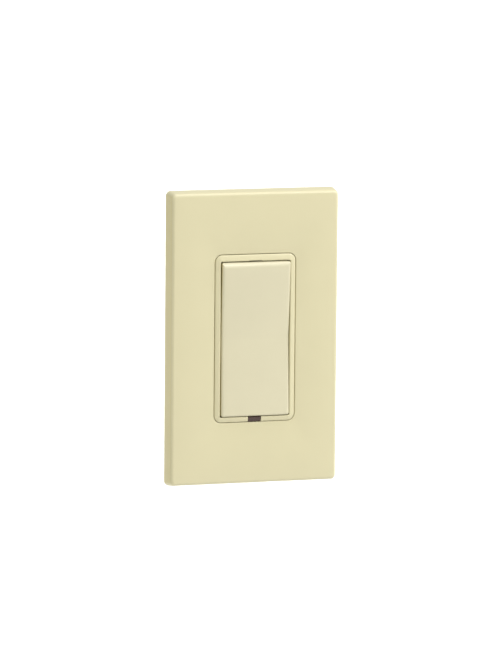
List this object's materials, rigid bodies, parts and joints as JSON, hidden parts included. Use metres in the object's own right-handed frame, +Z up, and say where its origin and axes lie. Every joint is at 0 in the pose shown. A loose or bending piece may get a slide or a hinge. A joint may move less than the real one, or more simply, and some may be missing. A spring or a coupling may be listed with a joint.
{
  "type": "wall switch",
  "caption": "Single-gang rocker wall switch in a screwless plate, with a status lens, a relay inside and screw terminals on its rear housing.",
  "frame": {"origin": "on the wall's surface, behind the centre of the plate", "axes": "+X to the user's right, +Y into the wall, +Z up; the front faces -Y"},
  "size_m": [0.0698, 0.0362, 0.1164],
  "materials": {
    "ivory_plastic": "moulded, softly glossy",
    "rocker_plastic": "moulded, softly glossy",
    "smoked_lens": "smoked, polished",
    "sub_plate_plastic": "moulded, matt",
    "zinc_steel": "zinc plated",
    "fibre": "pressed fibre",
    "green_screw": "green plated",
    "housing_plastic": "moulded, fine texture",
    "board": "solder resist",
    "black_plastic": "moulded",
    "white_plastic": "moulded",
    "relay_plastic": "moulded",
    "copper_winding": "enamelled copper wire",
    "iron": "plated soft iron",
    "brass": "rolled sheet",
    "capacitor_sleeve": "shrink sleeve",
    "film_capacitor_resin": "cast resin",
    "ferrite": "pressed ferrite",
    "varistor_resin": "dipped resin"
  },
  "bodies": {
    "device": {"front_frame": "ivory_plastic", "status_lens": "smoked_lens", "sub_plate": "sub_plate_plastic", "sub_plate_screw_top": "zinc_steel", "sub_plate_screw_bottom": "zinc_steel", "mounting_strap": "zinc_steel", "box_screw_top": "zinc_steel", "box_screw_bottom": "zinc_steel", "box_screw_washer_top": "fibre", "box_screw_washer_bottom": "fibre", "ground_screw": "green_screw", "rear_housing": "housing_plastic", "housing_screw_top_left": "zinc_steel", "housing_screw_top_right": "zinc_steel", "housing_screw_bottom_left": "zinc_steel", "housing_screw_bottom_right": "zinc_steel", "logic_board": "board", "switch_body_top": "black_plastic", "switch_body_bottom": "black_plastic", "status_led": "white_plastic", "microcontroller": "black_plastic", "power_board": "board", "board_connector": "black_plastic", "relay_base": "black_plastic", "relay_case": "relay_plastic", "relay_coil": "copper_winding", "relay_yoke": "iron", "relay_fixed_contact": "brass", "electrolytic_capacitor": "capacitor_sleeve", "film_capacitor": "film_capacitor_resin", "transformer_core": "ferrite", "transformer_winding": "copper_winding", "varistor": "varistor_resin", "fuse_resistor": "white_plastic", "line_terminal_plate": "brass", "load_terminal_plate": "brass", "neutral_terminal_plate": "brass"},
    "cover": {"cover_plate": "ivory_plastic"},
    "rocker": {"rocker": "rocker_plastic"},
    "plunger_top": {"switch_plunger_top": "white_plastic"},
    "plunger_bottom": {"switch_plunger_bottom": "white_plastic"},
    "armature": {"relay_armature": "iron", "relay_contact_blade": "brass"},
    "line_clamp": {"line_pressure_plate": "zinc_steel"},
    "line_screw": {"line_terminal_screw": "brass"},
    "load_clamp": {"load_pressure_plate": "zinc_steel"},
    "load_screw": {"load_terminal_screw": "brass"},
    "neutral_clamp": {"neutral_pressure_plate": "zinc_steel"},
    "neutral_screw": {"neutral_terminal_screw": "zinc_steel"}
  },
  "joints": [
    {"name": "rocker_tilt", "type": "hinge", "parent": "device", "child": "rocker", "pos_m": [0, -0.0042, 0], "axis": [-1, 0, 0], "range_deg": [-2.6, 2.6], "stiffness_Nm_per_rad": 1.2},
    {"name": "plunger_top_press", "type": "slide", "parent": "device", "child": "plunger_top", "axis": [0, 1, 0], "range_m": [-0.00055, 0.00055]},
    {"name": "plunger_bottom_press", "type": "slide", "parent": "device", "child": "plunger_bottom", "axis": [0, 1, 0], "range_m": [-0.00055, 0.00055]},
    {"name": "relay_pull_in", "type": "hinge", "parent": "device", "child": "armature", "pos_m": [-0.0046, 0.0081, 0.0139], "axis": [-1, 0, 0], "range_deg": [0, 4], "stiffness_Nm_per_rad": 0.02, "springref_deg": -5.73},
    {"name": "cover_pull_off", "type": "slide", "parent": "device", "child": "cover", "axis": [0, -1, 0], "range_m": [0, 0.03]},
    {"name": "line_clamp_travel", "type": "slide", "parent": "device", "child": "line_clamp", "axis": [-1, 0, 0], "range_m": [0, 0.00238]},
    {"name": "line_screw_turn", "type": "hinge", "parent": "line_clamp", "child": "line_screw", "pos_m": [-0.0191, 0.016, 0.017], "axis": [-1, 0, 0], "range_deg": [0, 1080]},
    {"name": "load_clamp_travel", "type": "slide", "parent": "device", "child": "load_clamp", "axis": [-1, 0, 0], "range_m": [0, 0.00238]},
    {"name": "load_screw_turn", "type": "hinge", "parent": "load_clamp", "child": "load_screw", "pos_m": [-0.0191, 0.016, -0.017], "axis": [-1, 0, 0], "range_deg": [0, 1080]},
    {"name": "neutral_clamp_travel", "type": "slide", "parent": "device", "child": "neutral_clamp", "axis": [1, 0, 0], "range_m": [0, 0.00238]},
    {"name": "neutral_screw_turn", "type": "hinge", "parent": "neutral_clamp", "child": "neutral_screw", "pos_m": [0.0191, 0.016, 0.017], "axis": [1, 0, 0], "range_deg": [0, 1080]}
  ],
  "couplings": [
    {"joint": "plunger_top_press", "follows": "rocker_tilt", "m_per_rad": 0.012},
    {"joint": "plunger_bottom_press", "follows": "rocker_tilt", "m_per_rad": -0.012},
    {"joint": "line_screw_turn", "follows": "line_clamp_travel", "rad_per_m": 7915.8},
    {"joint": "load_screw_turn", "follows": "load_clamp_travel", "rad_per_m": 7915.8},
    {"joint": "neutral_screw_turn", "follows": "neutral_clamp_travel", "rad_per_m": 7915.8}
  ]
}
